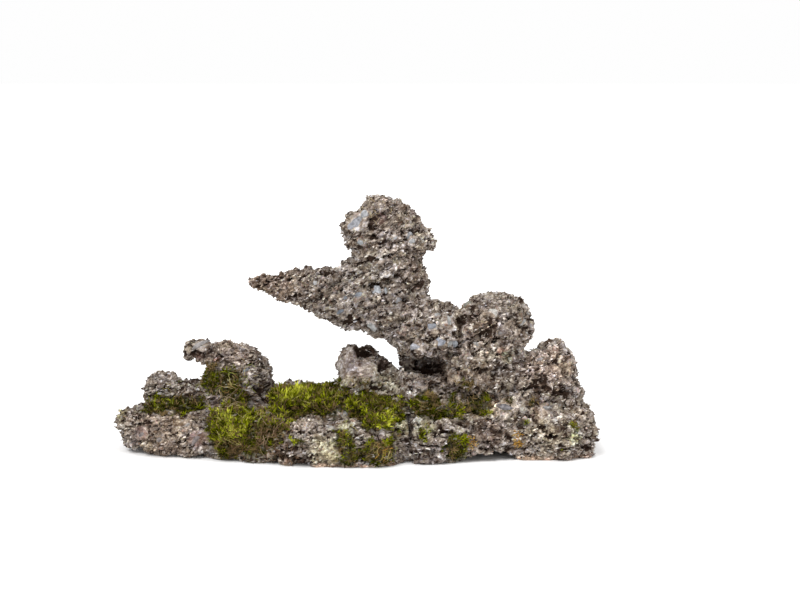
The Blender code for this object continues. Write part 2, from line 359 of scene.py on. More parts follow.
def seenOn(surface, pixelX, pixelY):
    # where the camera sees this surface at a point of the picture: place, normal, face, distance
    rise = math.radians(camera["elevation"])
    focal = camera["lens"] / camera["sensor"] * camera["imageWidth"]
    forward = Vector((0, math.cos(rise), -math.sin(rise)))
    up = Vector((0, math.sin(rise), math.cos(rise)))
    across = (pixelX - camera["imageWidth"] / 2) / focal
    above = (camera["imageHeight"] / 2 - pixelY) / focal
    ray = (forward + Vector((1, 0, 0)) * across + up * above).normalized()
    return surface.ray_cast(cameraPlace(), ray)


makeCamera()
print("camera placed")


# Materials.

def newMaterial(name, roughness, specular=0.12):
    made = bpy.data.materials.new(name)
    made.use_nodes = True
    shader = made.node_tree.nodes["Principled BSDF"]
    shader.inputs["Roughness"].default_value = roughness
    shader.inputs["Specular IOR Level"].default_value = specular
    return made, Net(made.node_tree), shader.inputs


def addBump(net, inputs, height, distance, strength):
    bump = {"Height": height, "Distance": distance, "Strength": strength}
    net.feed(inputs["Normal"], net.get("ShaderNodeBump", bump, "Normal"))


stoneLook = {
    # painted shade colour for pits, dents and the listed hollows
    "dark": (0.03, 0.017, 0.011),
    "grains": (
        (0.0, (0.055, 0.036, 0.026)),
        (0.14, (0.11, 0.08, 0.062)),
        (0.34, (0.197, 0.164, 0.14)),
        (0.54, (0.302, 0.265, 0.236)),
        (0.74, (0.452, 0.415, 0.385)),
        (0.88, (0.69, 0.66, 0.63)),
        (1.0, (0.94, 0.92, 0.89)),
    ),
    "hues": (
        (0.0, (1.0, 0.92, 0.82)),
        (0.2, (1.0, 0.96, 0.9)),
        (0.46, (0.97, 0.96, 1.0)),
        (0.64, (0.88, 0.93, 1.06)),
        (0.73, (0.97, 1.0, 0.82)),
        (0.82, (1.04, 0.88, 0.88)),
        (0.93, (1.08, 0.82, 0.7)),
    ),
    "zones": (
        (0.36, (1.01, 1.0, 0.9)),
        (0.46, (1.0, 0.98, 0.94)),
        (0.52, (1.0, 0.98, 0.96)),
        (0.62, (0.98, 0.97, 1.0)),
    ),
    "mossStain": (0.06, 0.066, 0.016),
    "grainSize": 2.3 * mm,
    "roughness": 0.88,
}


def stoneMaterial():
    made, net, inputs = newMaterial("gravelStone", stoneLook["roughness"])
    place = net.objectPlace()
    cells = net.node("ShaderNodeTexVoronoi", {"Vector": place, "Scale": 1 / stoneLook["grainSize"]})
    finest = net.noise(place, 1100.0, 3.0)
    broad = net.noise(place, 24.0, 4.0)
    picked = net.apart(net.out(cells, "Color"), "ShaderNodeSeparateColor")
    grain = picked[0].fused(0.38, net.attribute("grainTint") * 0.80)
    grain = finest.fused(0.55, broad.fused(0.55, grain)) - 0.65
    colour = net.ramp(grain, stoneLook["grains"])
    hue = picked[1].fused(0.35, net.attribute("grainHue") * 0.65)
    colour = net.mixed(0.85, colour, net.ramp(hue, stoneLook["hues"], steps=True), "MULTIPLY")
    zones = net.noise(place, 42.0, 5.0, 0.65)
    colour = net.mixed(1.0, colour, net.ramp(zones, stoneLook["zones"]), "MULTIPLY")
    patches = net.noise(place, 130.0, 4.0, 0.7)
    # real stains and painted light alike: painted shade in caves, recesses and the joint, and a painted
    # highlight along the ledge
    stain = net.attribute("stain") * patches.remap(0.30, 0.52)
    paintedStainAndLight = net.mixed(1.0, net.attribute("stainColour", "Color"), colour.scaled(3.6), "MULTIPLY")
    colour = net.mixed(stain, colour, paintedStainAndLight)
    green = (net.attribute("mossNear") * 0.9).most(net.attribute("stray"))
    mossy = patches.fused(1.6, green).remap(1.05, 1.75, 0, 0.85, smooth=True)
    colour = net.mixed(mossy, colour, (*stoneLook["mossStain"], 1))
    # painted shade: darker where the stone sinks into pits and dents and at the listed hollows
    pitShade = net.attribute("pit").remap(0.10, 0.60, 0, 1)
    colour = net.mixed(pitShade, colour, (*stoneLook["dark"], 1))
    net.feed(inputs["Base Color"], colour)
    addBump(net, inputs, finest, 0.8 * mm, 0.8)
    return made


stoneSkin = stoneMaterial()
print("stone material made")


# What the picture shows where.

cadSurface = surfaceOf(leftStone, rightStone)
mossSurface = surfaceOf(*(nodes[name] for name in mossNodes))


def onRock(pixelX, pixelY):
    return seenOn(cadSurface, pixelX, pixelY)[0]


def inFront(pixelX, pixelY):
    # the same on stone or cushion, whichever is nearer
    rock = seenOn(cadSurface, pixelX, pixelY)
    moss = seenOn(mossSurface, pixelX, pixelY)
    if moss[0] is not None and (rock[0] is None or moss[3] < rock[3]):
        return moss[0]
    return rock[0]


# real stains and painted light: picture x, y, radius in mm, strength, colour. The darkest entries paint shade
# into the caves, recesses, the beak's cavity, the joint and under the lobe, and the pale ones along the
# ledge's top edge paint its highlight
stainsAndPaintedLight = (
    (272, 285, 34, 0.4, (0.3, 0.235, 0.18)), (385, 205, 26, 0.35, (0.27, 0.22, 0.175)),
    (415, 265, 26, 0.45, (0.2, 0.165, 0.14)), (380, 300, 34, 0.4, (0.26, 0.265, 0.275)),
    (425, 325, 34, 0.45, (0.31, 0.3, 0.305)), (410, 235, 24, 0.4, (0.37, 0.355, 0.35)),
    (480, 330, 30, 0.4, (0.24, 0.19, 0.155)), (548, 364, 34, 0.85, (0.49, 0.462, 0.45)),
    (512, 336, 30, 0.3, (0.2, 0.165, 0.14)), (398, 228, 48, 0.5, (0.345, 0.335, 0.33)),
    (230, 355, 30, 0.3, (0.29, 0.235, 0.205)), (165, 428, 46, 0.8, (0.29, 0.262, 0.232)),
    (470, 380, 30, 0.45, (0.21, 0.17, 0.125)), (143, 433, 12, 1.0, (0.235, 0.19, 0.19)),
    (197, 439, 13, 1.0, (0.225, 0.178, 0.182)), (204, 434, 9, 0.9, (0.225, 0.178, 0.182)),
    # painted shade in the cavity under the beak's plate
    (197, 356, 8, 1.0, (0.075, 0.05, 0.04)), (202, 362, 5, 1.0, (0.09, 0.06, 0.048)),
    (120, 415, 9, 0.8, (0.34, 0.34, 0.2)), (381, 218, 9, 0.8, (0.17, 0.12, 0.135)),
    (503, 352, 8, 0.7, (0.2, 0.11, 0.085)), (507, 357, 9, 0.7, (0.3, 0.34, 0.24)),
    (464, 306, 10, 0.7, (0.38, 0.35, 0.23)), (545, 436, 26, 0.8, (0.355, 0.355, 0.32)),
    (510, 410, 10, 0.8, (0.44, 0.42, 0.39)), (540, 411, 12, 0.8, (0.41, 0.395, 0.375)),
    (480, 413, 14, 0.8, (0.42, 0.42, 0.34)), (575, 415, 14, 0.7, (0.42, 0.405, 0.38)),
    (326, 453, 20, 1.0, (0.5, 0.53, 0.43)), (345, 430, 14, 1.0, (0.4, 0.44, 0.36)),
    (346, 445, 10, 0.8, (0.3, 0.35, 0.23)), (575, 438, 9, 0.8, (0.33, 0.37, 0.25)),
    (388, 386, 22, 0.8, (0.36, 0.375, 0.32)), (400, 400, 14, 0.8, (0.35, 0.37, 0.3)),
    (358, 366, 20, 1.0, (0.235, 0.23, 0.243)), (216, 360, 5, 1.0, (0.15, 0.07, 0.05)),
    # painted shade in the recess along the foot
    (214, 402, 9, 0.9, (0.27, 0.25, 0.29)), (285, 459, 9, 0.9, (0.13, 0.085, 0.065)),
    (302, 459, 9, 0.9, (0.13, 0.085, 0.065)), (290, 414, 10, 0.9, (0.43, 0.4, 0.43)),
    # painted shadow under the lobe's undercut
    (315, 415, 9, 0.9, (0.45, 0.43, 0.42)), (560, 387, 4, 0.8, (0.17, 0.11, 0.085)),
    (548, 388, 4, 0.8, (0.17, 0.11, 0.085)), (536, 389, 4, 0.8, (0.17, 0.11, 0.085)),
    # painted shade in the cave under the lump
    (384, 362, 9, 1.0, (0.1, 0.075, 0.07)), (362, 347, 7, 1.0, (0.06, 0.045, 0.04)),
    (371, 350, 8, 1.0, (0.085, 0.065, 0.058)), (300, 425, 16, 0.5, (0.42, 0.39, 0.35)),
    (402, 425, 12, 0.7, (0.36, 0.4, 0.29)), (425, 428, 14, 0.7, (0.34, 0.38, 0.29)),
    (380, 437, 8, 0.9, (0.06, 0.026, 0.022)), (490, 430, 22, 0.7, (0.12, 0.09, 0.07)),
    # painted highlight along the ledge's top edge, then painted shadow beneath it
    (463, 409, 8, 1.0, (0.56, 0.53, 0.47)), (474, 408, 8, 1.0, (0.6, 0.57, 0.47)),
    (484, 408, 8, 1.0, (0.56, 0.56, 0.43)), (496, 408, 9, 1.0, (0.56, 0.53, 0.5)),
    (508, 408, 8, 1.0, (0.56, 0.53, 0.5)), (459, 423, 5, 1.0, (0.055, 0.04, 0.034)),
    (466, 424, 5, 0.9, (0.07, 0.05, 0.042)), (345, 383, 13, 0.8, (0.33, 0.345, 0.29)),
    (362, 384, 13, 0.8, (0.33, 0.345, 0.29)), (378, 382, 10, 0.7, (0.34, 0.355, 0.3)),
    (440, 370, 18, 0.5, (0.19, 0.13, 0.1)), (296, 417, 3, 1.0, (0.6, 0.23, 0.06)),
    # painted shade down the joint between the stones
    (410, 410, 3, 1.0, (0.03, 0.021, 0.017)), (410, 420, 3, 1.0, (0.03, 0.021, 0.017)),
    (410, 430, 3, 1.0, (0.03, 0.021, 0.017)), (411, 440, 4, 1.0, (0.03, 0.021, 0.017)),
    (412, 449, 4, 1.0, (0.03, 0.021, 0.017)), (413, 457, 4, 1.0, (0.03, 0.021, 0.017)),
)
footStain = {
    "height": 5.5 * mm,
    "spans": ((-52 * mm, 48 * mm), (196 * mm, 290 * mm)),
    "colour": (0.62, 0.53, 0.45),
}

# strokes that sink in: picture x, y to x, y, half width in mm, depth in mm
dents = (
    (358, 354, 369, 353, 7, 4), (358, 349, 365, 349, 5, 3), (378, 356, 386, 364, 4, 4),
    (401, 361, 440, 366, 6, 9), (412, 365, 443, 372, 7, 10), (463, 308, 458, 345, 4, 4),
    (497, 321, 506, 327, 4, 5), (503, 345, 522, 338, 3, 4), (530, 345, 536, 352, 3, 4),
    (525, 356, 560, 350, 2.0, 2.5), (519, 367, 568, 361, 2.0, 2.5), (516, 377, 571, 373, 2.0, 2.5),
    (500, 392, 525, 390, 2.5, 3), (535, 345, 552, 341, 2.0, 2.5), (466, 415, 505, 411, 3, 4),
    (371, 228, 376, 228, 4, 6), (400, 248, 407, 252, 5, 7), (378, 267, 382, 269, 4, 6),
    (398, 277, 402, 279, 4, 6), (372, 285, 385, 287, 4, 6), (345, 306, 352, 301, 3, 4),
    (520, 390, 572, 385, 2.6, 6), (488, 374, 512, 366, 4, 5), (453, 421, 465, 425, 5, 7),
    (476, 430, 484, 432, 4, 5), (492, 430, 512, 436, 6, 4), (378, 430, 382, 443, 6, 7),
    (255, 388, 272, 402, 7, 7), (276, 456, 306, 459, 6, 6), (409.5, 406, 410.5, 431, 4.2, 7),
    (410.5, 431, 413, 459, 5.0, 8), (205, 372, 200, 376, 5, 5), (222, 358, 218, 362, 3, 3),
    (292, 296, 300, 300, 3, 4), (193, 354, 201, 357, 4, 5), (187, 360, 191, 361, 3, 2),
    (320, 297, 326, 301, 3, 4), (430, 262, 424, 270, 4, 5), (512, 318, 524, 330, 4, 5),
)
# where the outline stands further out or in: picture x, y, radius in mm, rise in mm
swells = (
    (560, 340, 7, 4), (545, 345, 13, -8), (537, 349, 9, -5), (172, 377, 7, 6), (248, 347, 10, -6),
    (260, 355, 11, -6), (342, 354, 10, -4), (339, 362, 8, -3), (347, 349, 8, -2), (382, 358, 4, 4),
    (393, 370, 5, 3), (296, 385, 9, 6), (188, 360, 5, -4), (198, 358, 6, 5), (203, 362, 5, 4),
    (187, 352, 5, 4), (190, 354, 4, 3),
)
# hollows where shade is painted on the stone: picture x, y, radius in mm, strength
shadedHollows = (
    (358, 353, 9, 1.0), (365, 353, 9, 1.0), (357, 348, 7, 1.0), (364, 348, 8, 1.0), (371, 351, 9, 0.9),
    (376, 356, 7, 0.6), (380, 366, 6, 0.9), (385, 366, 6, 0.8), (377, 361, 5, 0.7), (411, 443, 4, 0.8),
    (412, 450, 5, 1.0), (413, 457, 5, 1.0),
)
# smooth flat faces: picture x, y, radius in mm, strength
facets = (
    (143, 433, 11, 1.0), (197, 439, 12, 1.0), (204, 434, 8, 1.0), (342, 355, 29, 1.0), (342, 366, 22, 1.0),
    (190, 351, 7, 0.7), (186, 347, 6, 0.6), (345, 358, 10, 0.9), (341, 354, 13, 1.0), (339, 363, 11, 0.9),
    (347, 377, 12, 0.8), (200, 345, 12, 0.5), (180, 424, 11, 0.6), (158, 418, 10, 0.6), (128, 424, 8, 0.5),
    (168, 444, 8, 0.5), (351, 365, 22, 1.0), (366, 369, 20, 1.0), (376, 375, 10, 0.7), (326, 452, 18, 0.75),
    (347, 430, 9, 0.6), (346, 352, 12, 1.0), (353, 346, 11, 1.0), (364, 344, 10, 0.9), (374, 349, 8, 0.8),
    (381, 218, 8, 0.6), (506, 408, 11, 0.7), (546, 408, 8, 0.7), (522, 409, 5, 0.7), (487, 410, 6, 0.6),
)
# pebbles set in the stones: picture x, y, width, height in mm, turn in degrees, colour
pebbles = (
    (357, 221, 27, 17, 38, (0.37, 0.38, 0.43)), (352, 227, 12, 9, 30, (0.42, 0.43, 0.5)),
    (365, 214, 14, 8, 25, (0.48, 0.49, 0.52)), (316, 283, 7, 9, 60, (0.56, 0.56, 0.56)),
    (341, 310, 15, 9, 45, (0.2, 0.24, 0.31)), (360, 294, 12, 10, 20, (0.34, 0.38, 0.45)),
    (377, 290, 10, 12, 50, (0.48, 0.51, 0.56)), (373, 326, 13, 13, 10, (0.4, 0.4, 0.39)),
    (431, 327, 12, 10, 25, (0.33, 0.35, 0.41)), (417, 346, 15, 10, 25, (0.48, 0.48, 0.55)),
    (440, 342, 13, 9, 10, (0.43, 0.46, 0.56)), (454, 343, 10, 10, 60, (0.4, 0.43, 0.49)),
    (449, 323, 5, 20, 0, (0.42, 0.42, 0.4)), (494, 313, 12, 11, 10, (0.7, 0.65, 0.56)),
    (246, 370, 9, 6, 15, (0.28, 0.31, 0.37)), (506, 408, 22, 7, 0, (0.3, 0.27, 0.285)),
    (522, 409, 7, 8, 0, (0.62, 0.56, 0.45)), (487, 410, 10, 5, 0, (0.42, 0.44, 0.27)),
    (546, 408, 16, 6, 0, (0.4, 0.38, 0.37)), (395, 238, 9, 7, 30, (0.42, 0.42, 0.44)),
    (409, 235, 8, 8, 30, (0.4, 0.41, 0.44)), (345, 298, 8, 6, 40, (0.3, 0.32, 0.37)),
    (398, 300, 8, 8, 30, (0.3, 0.29, 0.3)), (437, 315, 8, 6, 20, (0.42, 0.4, 0.38)),
    (500, 333, 9, 6, 20, (0.33, 0.29, 0.27)), (477, 345, 8, 9, 20, (0.36, 0.33, 0.3)),
    (540, 360, 9, 6, 20, (0.4, 0.35, 0.34)), (188, 425, 10, 6, 15, (0.42, 0.36, 0.32)),
    (160, 440, 9, 6, 10, (0.33, 0.27, 0.25)), (330, 428, 9, 7, 0, (0.42, 0.38, 0.34)),
    (280, 417, 8, 9, 20, (0.4, 0.37, 0.37)), (345, 415, 10, 7, 0, (0.38, 0.36, 0.35)),
    (361, 242, 11, 7, 15, (0.38, 0.41, 0.43)), (412, 241, 9, 7, 25, (0.45, 0.45, 0.45)),
    (386, 290, 6, 7, 30, (0.4, 0.42, 0.45)), (466, 305, 12, 8, 60, (0.33, 0.32, 0.23)),
    (201, 344, 21, 7, 31, (0.4, 0.355, 0.34)), (143, 433, 15, 8, 42, (0.33, 0.265, 0.25)),
    (196, 439, 18, 9, 46, (0.31, 0.245, 0.235)), (187, 341, 8, 6, 60, (0.42, 0.38, 0.34)),
    (449, 343, 8, 8, 70, (0.42, 0.43, 0.42)), (523, 322, 9, 8, 20, (0.42, 0.39, 0.36)),
)
# moss away from the cushions: picture x, y, radius in mm, strength
straySpots = (
    (275, 425, 26, 0.9), (246, 401, 9, 0.6), (226, 380, 14, 0.7), (294, 441, 7, 0.8), (282, 425, 9, 0.8),
    (340, 398, 18, 0.7), (370, 398, 18, 0.6), (428, 408, 20, 0.8), (425, 430, 14, 0.4), (345, 445, 12, 0.8),
    (466, 388, 14, 0.55), (485, 398, 9, 0.75), (395, 435, 12, 0.5), (318, 440, 10, 0.3), (525, 421, 5, 0.8),
    (532, 404, 6, 0.8), (168, 402, 13, 0.5), (422, 438, 9, 0.6), (572, 425, 8, 0.5), (330, 385, 14, 0.5),
    (455, 446, 14, 0.7), (578, 430, 8, 0.4), (300, 445, 12, 0.4), (378, 384, 12, 0.3), (352, 387, 11, 0.25),
    (366, 391, 13, 0.45), (335, 389, 9, 0.35), (405, 402, 12, 0.6), (385, 450, 16, 0.6),
)
# where a cushion is thin and the stone's grit shows: picture x, y, radius in mm, strength
thinMoss = (
    (472, 394, 9, 0.7), (500, 402, 15, 1.0), (520, 400, 20, 1.0), (545, 398, 22, 1.0), (562, 396, 20, 1.0),
    (252, 366, 16, 1.0), (249, 384, 12, 1.0), (222, 372, 10, 0.4), (259, 399, 13, 1.0), (214, 402, 17, 1.0),
    (262, 408, 8, 0.8), (272, 387, 6, 0.9), (325, 386, 8, 0.9), (284, 387, 7, 0.9), (315, 386, 8, 0.8),
    (340, 452, 9, 0.8), (352, 436, 8, 0.8), (225, 398, 8, 0.6), (150, 425, 8, 0.9), (165, 389, 10, 1.0),
    (178, 390, 11, 1.0), (191, 392, 10, 1.0), (154, 391, 7, 0.9), (204, 391, 6, 0.9), (296, 384, 9, 1.0),
    (275, 442, 16, 0.4), (240, 460, 14, 0.6), (280, 457, 18, 0.6), (270, 455, 14, 0.6), (301, 436, 9, 0.8),
    (381, 435, 11, 1.0), (150, 400, 8, 0.6), (195, 396, 10, 0.6), (354, 446, 9, 0.8), (330, 445, 10, 0.8),
    (436, 392, 9, 0.8), (452, 393, 9, 0.8), (462, 400, 8, 0.8), (484, 398, 11, 1.0), (428, 401, 9, 0.8),
    (443, 402, 9, 0.8), (470, 404, 8, 0.8), (444, 436, 11, 1.0), (471, 434, 11, 1.0), (457, 430, 10, 1.0),
    (443, 450, 8, 0.9), (472, 448, 8, 0.9), (402, 410, 7, 0.6), (340, 391, 11, 0.9), (352, 388, 12, 1.0),
    (364, 388, 10, 0.9), (410, 392, 10, 0.7),
)


def falloff(place, pixelX, pixelY, radius, seen=onRock):
    # 1 at the spot, 0 from the radius outwards
    hit = seen(pixelX, pixelY)
    if hit is None:
        return np.zeros(len(place))
    gap = np.linalg.norm(place - np.array(hit), axis=1) / (radius * mm)
    return np.clip(1 - gap, 0, 1)


def strongest(place, spots, grow, gain, seen=onRock):
    value = np.zeros(len(place))
    for pixelX, pixelY, radius, power in spots:
        here = falloff(place, pixelX, pixelY, radius * grow, seen)
        value = np.maximum(value, power * np.clip(gain * here, 0, 1))
    return value


def thinness(place):
    return np.maximum(strongest(place, thinMoss, 1.3, 1.8), strongest(place, thinMoss, 1.3, 1.8, inFront))


def storeStainsAndPaintedLight(mesh, place):
    strength = np.zeros(len(place))
    colour = np.ones((len(place), 4)) * 0.5
    for pixelX, pixelY, radius, power, shade in stainsAndPaintedLight:
        here = power * np.clip(1.8 * falloff(place, pixelX, pixelY, radius * 1.3), 0, 1)
        stronger = here > strength
        strength[stronger] = here[stronger]
        colour[stronger, :3] = shade
    low = np.clip(1 - place[:, 2] / footStain["height"], 0, 1)
    bare = np.zeros(len(place), dtype=bool)
    for start, end in footStain["spans"]:
        bare |= (place[:, 0] > start) & (place[:, 0] < end)
    low[~bare] = 0
    stronger = low > strength
    strength[stronger] = low[stronger]
    colour[stronger, :3] = footStain["colour"]
    storeFloats(mesh, "stain", strength)
    storeColours(mesh, "stainColour", colour)


def storeFields(mesh):
    # the marks above as values at the stone's points
    place = points(mesh)
    storeStainsAndPaintedLight(mesh, place)
    sunk = np.zeros(len(place))
    for startX, startY, endX, endY, radius, depth in dents:
        steps = max(2, int(math.hypot(endX - startX, endY - startY) / 3))
        for step in np.linspace(0, 1, steps):
            pixelX = startX + (endX - startX) * step
            pixelY = startY + (endY - startY) * step
            here = falloff(place, pixelX, pixelY, radius * 1.25)
            sunk = np.maximum(sunk, depth * mm * here * here * (3 - 2 * here))
    storeFloats(mesh, "dent", sunk)
    swell = np.zeros(len(place))
    for pixelX, pixelY, radius, rise in swells:
        here = falloff(place, pixelX, pixelY, radius * 1.4)
        swell += rise * mm * here * here * (3 - 2 * here)
    storeFloats(mesh, "swell", swell)
    storeFloats(mesh, "hollow", strongest(place, shadedHollows, 1.25, 1.6))
    settings = [(pebble[0], pebble[1], max(pebble[2:4]), 1) for pebble in pebbles]
    flat = np.maximum(strongest(place, facets, 1, 2.5), strongest(place, settings, 0.62, 3))
    storeFloats(mesh, "flat", flat)
    storeFloats(mesh, "stray", strongest(place, straySpots, 1.2, 1.6))
    reach = skinLook["mossReach"]
    near = []
    for vert in mesh.vertices:
        hit = mossSurface.find_nearest(vert.co, reach)
        near.append(0 if hit[3] is None else 1 - hit[3] / reach)
    storeFloats(mesh, "mossNear", np.array(near) * (1 - 0.85 * thinness(place)))
    storeFloats(mesh, "gritShare", np.ones(len(place)))


print("marks listed")


# The stones' skins.

# the joint's plane, x = foot - lean * z
joint = {
    "footX": 70.4 * mm,
    "lean": 0.146,
    "top": 102.5 * mm,
    "clearance": 0.3 * mm,
    "pull": 4 * mm,
}

skinLook = {
    "stoneSize": 15 * mm, "stoneRelief": 6.0 * mm,
    "gravelSize": 5.6 * mm, "gravelRelief": 3.4 * mm,
    "gritSize": 3.2 * mm, "gritRelief": 2.2 * mm,
    "pitDepth": 5.5 * mm, "pitShare": 0.56,
    "grooveDepth": 5.0 * mm, "grooveShare": 0.575,
    "blockSize": 32 * mm, "blockRelief": 7.0 * mm,
    "underMoss": 0.3, "mossReach": 18 * mm,
    "leftGrid": 1.58 * mm, "rightGrid": 1.8 * mm, "softGrid": 2.4 * mm, "relaxSteps": 4,
}


# the beds lie nearly level at the foot and rise to the right higher up
bedding = {
    "levelBelow": 30 * mm, "levelAngle": math.radians(5),
    "steepAbove": 220 * mm, "steepAngle": math.radians(26),
    "bend": 9 * mm, "bendScale": 70.0,
}

# holes that follow the beds: stretch, then scale, detail and roughness of the noise, then width of the rim
bedHoles = {
    "pit": ((0.60, 0.7, 1.0), (210.0, 2.0, 0.6), 0.10),
    "groove": ((0.22, 0.35, 1.0), (150.0, 3.0, 0.55), 0.07),
}


def bedTurn(net, place):
    heights = (bedding["levelBelow"], bedding["steepAbove"])
    return net.apart(place)[2].remap(*heights, bedding["levelAngle"], bedding["steepAngle"])


def bedCoordinate(net, place):
    inputs = {"Vector": place, "Axis": (0, 1, 0), "Angle": bedTurn(net, place)}
    turned = net.get("ShaderNodeVectorRotate", inputs, rotation_type="AXIS_ANGLE")
    wander = net.noise(place, bedding["bendScale"], 2.0, output="Color")
    wander = net.vector("SUBTRACT", wander, (0.5, 0.5, 0.5))
    return net.vector("ADD", turned, wander.scaled(bedding["bend"]))


def stones(net, place, size, stretch, smooth=False):
    # stones of this size, longer along the bed than across it: height by chance, dome, tint and hue
    thin = net.vector("MULTIPLY", place, (1 / stretch, 1 / stretch, 1.0))
    cells = net.node("ShaderNodeTexVoronoi", {"Vector": thin, "Scale": net.calc("DIVIDE", 1.0, size)})
    if smooth:
        cells.feature = "SMOOTH_F1"
        cells.inputs["Smoothness"].default_value = 0.10
    height, tint, hue = net.apart(net.out(cells, "Color"))
    far = net.out(cells, "Distance")
    return height, 0.22 - far * far, tint, hue


def skinTree():
    net, given = newNet(
        "gravelSkin",
        "stoneSize stoneRelief gravelSize gravelRelief gritSize gritRelief pitDepth pitShare "
        "underMoss grooveDepth grooveShare blockSize blockRelief",
    )
    place = net.here()
    normal = net.get("GeometryNodeInputNormal")
    bed = bedCoordinate(net, place)
    bigHeight = stones(net, bed, given["stoneSize"], 1.6, smooth=True)[0]
    blockHeight = stones(net, bed, given["blockSize"], 1.4, smooth=True)[0]
    midHeight, midDome, midTint, midHue = stones(net, bed, given["gravelSize"], 1.6)
    gritHeight, gritDome, gritTint = stones(net, bed, given["gritSize"], 1.4)[:3]
    local = (midHeight - 0.5 + midDome) * given["gravelRelief"]
    local = (gritHeight - 0.5 + gritDome).fused(given["gritRelief"], local)

    for name, (stretch, pattern, rim) in bedHoles.items():
        holes = net.noise(net.vector("MULTIPLY", bed, stretch), *pattern)
        share = given[name + "Share"]
        local = local - holes.remap(share, share + rim, smooth=True) * given[name + "Depth"]
    height = (bigHeight - 0.5).fused(given["stoneRelief"], local)
    height = (blockHeight - 0.5).fused(given["blockRelief"], height)

    # less relief under the moss and on the flat faces
    covered = net.named("mossNear").remap(0.75, 0.95, 1, given["underMoss"], smooth=True)
    plain = net.named("flat").remap(0, 1, 1, 0.12)
    height = height * (covered * plain) - net.named("dent") + net.named("swell")

    # the sawn foot stays flat
    low = net.apart(place)[2].remap(0.8 * mm, 3 * mm, 1, 0)
    down = net.apart(normal)[2].remap(-0.75, -0.45, 1, 0)
    geometry = net.moved(given["Geometry"], normal.scaled(height * (1.0 - low * down)))

    # pit is 1 where the stone is painted darkest as shade, 5.5 mm down, and a dent counts for about a third
    # of its depth; the listed hollows add painted shade as well
    sunken = net.named("dent").fused(-0.37, local * plain)
    depth = net.calc("DIVIDE", sunken, 1 * mm).remap(0, -5.5)
    geometry = net.store(geometry, "pit", depth.most(net.named("hollow") * 0.72))
    geometry = net.store(geometry, "grainTint", midTint.fused(0.5, gritTint * 0.5))
    return net.finish(net.store(geometry, "grainHue", midHue), stoneSkin)


gravelSkin = skinTree()


def holdBack(mesh, side):
    # nothing of a stone goes below the floor or past the joint's plane
    # side is 1 for the stone right of the joint and -1 for the one left of it
    place = points(mesh)
    place[:, 2] = np.maximum(place[:, 2], 0)
    plane = joint["footX"] - joint["lean"] * place[:, 2]
    past = joint["clearance"] - side * (place[:, 0] - plane)
    wrong = (past > 0) & (past < joint["pull"])
    if side > 0:
        wrong &= place[:, 2] < joint["top"]
    place[wrong, 0] += side * past[wrong]
    setPoints(mesh, place)


def makeSkin(node, name, grid, side):
    rough = mergedCopy(node, name + "Rough")
    addVoxels(rough, skinLook["softGrid"])
    relax = rough.modifiers.new("relax", "SMOOTH")
    relax.factor = 0.5
    relax.iterations = skinLook["relaxSteps"]
    addVoxels(rough, grid)
    base = applied(rough, name + "Base")
    place = points(base.data)
    place[:, 2] -= place[:, 2].min()
    setPoints(base.data, place)
    storeFields(base.data)
    skin = runTree(base, gravelSkin, skinLook, name)
    for used in (rough, base):
        bpy.data.objects.remove(used)
    holdBack(skin.data, side)
    return skin


leftSkin = makeSkin(leftStone, "leftStoneSkin", skinLook["leftGrid"], -1)
rightSkin = makeSkin(rightStone, "rightStoneSkin", skinLook["rightGrid"], 1)
for skin, node in ((leftSkin, "left_stone"), (rightSkin, "right_stone")):
    finishPiece(skin, stoneSkin, node)
print("stone skins made")


# Chips of gravel on the skins.

chipLook = {
    "kinds": 12,
    "corners": 8,
    "density": 82000.0,
    "smallest": 1.5 * mm,
    "largest": 6.4 * mm,
    "lift": (-0.4, 0.02),
    "stretch": 1.75,
    "flatness": 0.5,
    "turn": 24,
    "batches": 2,
    "deepestPit": 0.55,
    "deepestDent": 3 * mm,
    "smallShare": 2.4,  # higher makes more of the chips small
}


def chipShapes():
    # sharp broken pebbles, one unit across, flat and longer one way
    rng = random.Random(4)
    shapes = bpy.data.collections.new("chipShapes")
    for kind in range(chipLook["kinds"]):
        bm = bmesh.new()
        length = chipLook["stretch"] * rng.uniform(0.8, 1.15)
        size = Vector((length, 1, chipLook["flatness"] * rng.uniform(0.8, 1.3)))
        for corner in range(chipLook["corners"]):
            spot = Vector([rng.gauss(0, 1) for axis in range(3)]).normalized() * rng.uniform(0.42, 0.56)
            bm.verts.new(spot * size)
        bmesh.ops.convex_hull(bm, input=bm.verts)
        name = "chip%d" % kind
        shapes.objects.link(bpy.data.objects.new(name, meshFrom(bm, name)))
    return shapes


